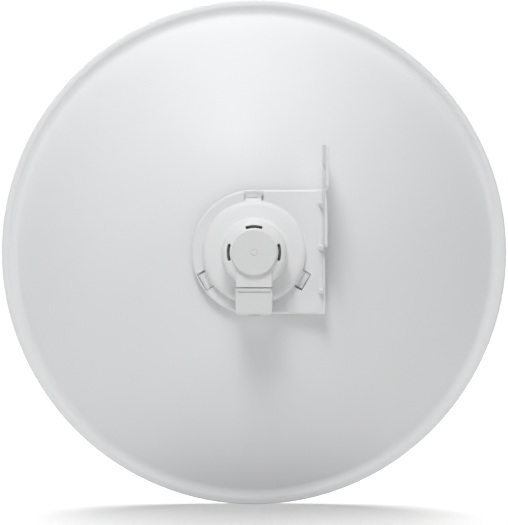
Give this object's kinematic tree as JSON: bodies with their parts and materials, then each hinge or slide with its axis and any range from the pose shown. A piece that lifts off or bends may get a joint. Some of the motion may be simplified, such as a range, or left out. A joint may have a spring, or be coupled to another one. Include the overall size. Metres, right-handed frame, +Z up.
{
  "type": "outdoor wireless bridge",
  "caption": "Round parabolic dish on an L-shaped side bracket with a tube radio feed through its centre, bayonet rear housing and sliding cable cover.",
  "frame": {"origin": "on the beam axis, on the plane where the bracket meets the back of the dish", "axes": "+Z up as the dish hangs on its pole, +Y along the beam away from the pole, +X to the right for someone standing behind the dish"},
  "size_m": [0.52, 0.275, 0.52],
  "materials": {
    "dish_paint": "white powder coat on spun sheet, satin",
    "bracket_paint": "white powder coat on pressed steel, satin",
    "zinc_steel": "zinc plated",
    "stainless": "stainless",
    "white_plastic": "moulded, fine grain",
    "black_rubber": "moulded",
    "cap_plastic": "moulded, fine grain",
    "grey_plastic": "moulded",
    "bare_aluminium": "machined",
    "natural_plastic": "natural, translucent white",
    "gold_brass": "plated",
    "board_green": "solder mask",
    "tinned_steel": "tinned",
    "black_epoxy": "moulded",
    "pad_blue": "soft filled silicone",
    "led_lens": "clear",
    "clear_plastic": "clear",
    "spring_steel": "spring temper"
  },
  "bodies": {
    "reflector": {"dish_reflector": "dish_paint", "dish_bracket": "bracket_paint", "backing_ring": "zinc_steel", "bracket_screws": "stainless", "bracket_nuts": "stainless", "centre_collar": "white_plastic", "collar_seal": "black_rubber"},
    "feed_unit": {"rear_housing": "white_plastic", "rear_cap": "cap_plastic", "rear_cap_seal": "black_rubber", "feed_tube": "white_plastic", "tube_end_plug": "grey_plastic", "nose_seal": "black_rubber", "nose_cap": "white_plastic", "sub_reflector": "bare_aluminium", "dielectric_support": "natural_plastic", "waveguide": "bare_aluminium", "probe_pins": "gold_brass", "probe_bushings": "natural_plastic", "main_board": "board_green", "board_screws": "stainless", "cpu_shield": "tinned_steel", "rf_shield": "tinned_steel", "board_chips": "black_epoxy", "thermal_pad": "pad_blue", "heat_spreader": "bare_aluminium", "ethernet_transformer": "black_epoxy", "ethernet_jack": "tinned_steel", "jack_contacts": "gold_brass", "status_leds": "led_lens", "light_guides": "clear_plastic", "reset_switch": "black_epoxy"},
    "cover": {"port_cover": "white_plastic", "cable_seal": "black_rubber"},
    "reset_plunger": {"reset_button": "grey_plastic"},
    "leaf_top": {"latch_top": "spring_steel"},
    "leaf_right": {"latch_right": "spring_steel"},
    "leaf_left": {"latch_left": "spring_steel"}
  },
  "joints": [
    {"name": "housing_twist", "type": "hinge", "parent": "reflector", "child": "feed_unit", "pos_m": [0, 0, 0], "axis": [0, 1, 0], "range_deg": [0, 1.9]},
    {"name": "port_cover_slide", "type": "slide", "parent": "feed_unit", "child": "cover", "axis": [0, 0, -1], "range_m": [0, 0.0128]},
    {"name": "reset_press", "type": "slide", "parent": "feed_unit", "child": "reset_plunger", "axis": [0, 0, 1], "range_m": [0, 0.0005]},
    {"name": "latch_top_flex", "type": "hinge", "parent": "feed_unit", "child": "leaf_top", "pos_m": [0, -0.0245, 0.0246], "axis": [-1, 0, 0], "range_deg": [0, 4]},
    {"name": "latch_right_flex", "type": "hinge", "parent": "feed_unit", "child": "leaf_right", "pos_m": [0.0246, -0.0245, 0], "axis": [0, 0, 1], "range_deg": [0, 4]},
    {"name": "latch_left_flex", "type": "hinge", "parent": "feed_unit", "child": "leaf_left", "pos_m": [-0.0246, -0.0245, 0], "axis": [0, 0, -1], "range_deg": [0, 4]}
  ]
}
